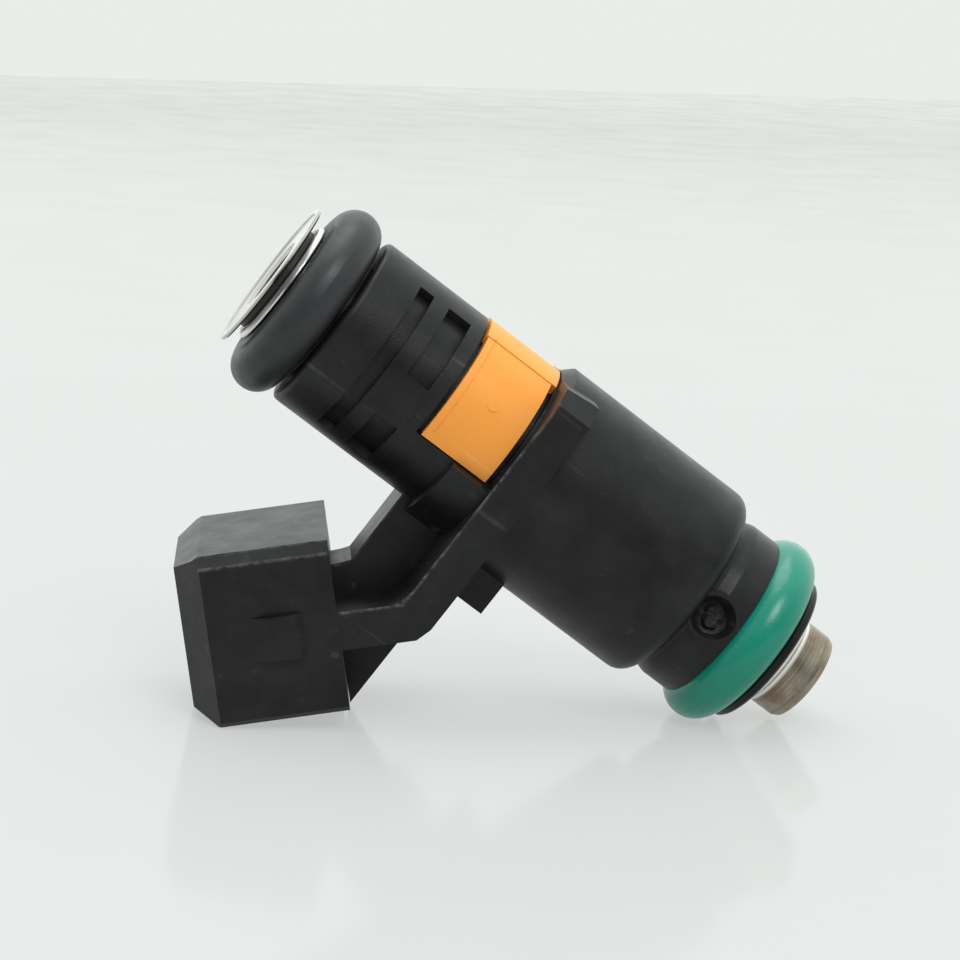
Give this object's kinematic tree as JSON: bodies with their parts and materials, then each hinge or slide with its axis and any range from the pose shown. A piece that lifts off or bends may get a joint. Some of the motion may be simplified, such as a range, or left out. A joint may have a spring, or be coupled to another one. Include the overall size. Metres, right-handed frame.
{
  "type": "fuel injector",
  "caption": "Slim port fuel injector with O-ring seals at both ends, a coloured band clip, an angled blade connector on an arm, and a sprung ball valve that opens inside.",
  "frame": {"origin": "centre of the lower O-ring, on the injector's axis, where it seals in the manifold's port", "axes": "+Z along the injector's axis towards the fuel inlet; the connector arm leaves towards -X; XZ is the plane of symmetry"},
  "size_m": [0.0336, 0.0162, 0.0471],
  "materials": {
    "housing": "satin, faint scratches",
    "id_clip": "satin",
    "upper_o_ring": "matt",
    "lower_o_ring": "glossy",
    "o_ring_retainer": "satin",
    "filter_flange": "polished",
    "filter_body": "matt",
    "filter_screen": "woven",
    "inlet_tube": "satin",
    "adjusting_sleeve": "satin",
    "closing_spring": "bright wire",
    "coil_housing": "satin",
    "flux_washer": "satin",
    "coil_bobbin": "matt",
    "coil_winding": "enamelled copper wire",
    "terminal_left": "tin plated",
    "terminal_right": "tin plated",
    "nonmagnetic_shell": "drawn",
    "armature": "turned",
    "needle_tube": "drawn",
    "valve_ball": "lapped",
    "valve_body": "turned, heat tinted",
    "ball_guide": "turned",
    "valve_seat": "ground",
    "orifice_disc": "satin",
    "orifice_washer": "satin"
  },
  "bodies": {
    "injector": {"housing": "housing", "id_clip": "id_clip", "upper_o_ring": "upper_o_ring", "lower_o_ring": "lower_o_ring", "o_ring_retainer": "o_ring_retainer", "filter_flange": "filter_flange", "filter_body": "filter_body", "filter_screen": "filter_screen", "inlet_tube": "inlet_tube", "adjusting_sleeve": "adjusting_sleeve", "closing_spring": "closing_spring", "coil_housing": "coil_housing", "flux_washer": "flux_washer", "coil_bobbin": "coil_bobbin", "coil_winding": "coil_winding", "terminal_left": "terminal_left", "terminal_right": "terminal_right", "nonmagnetic_shell": "nonmagnetic_shell", "valve_body": "valve_body", "ball_guide": "ball_guide", "valve_seat": "valve_seat", "orifice_disc": "orifice_disc", "orifice_washer": "orifice_washer"},
    "needle": {"armature": "armature", "needle_tube": "needle_tube", "valve_ball": "valve_ball"}
  },
  "joints": [
    {"name": "needle_lift", "type": "slide", "parent": "injector", "child": "needle", "axis": [0, 0, 1], "range_m": [0, 0.0001], "stiffness_N_per_m": 4000, "springref_m": -0.0005, "deforming": ["closing_spring"]}
  ]
}
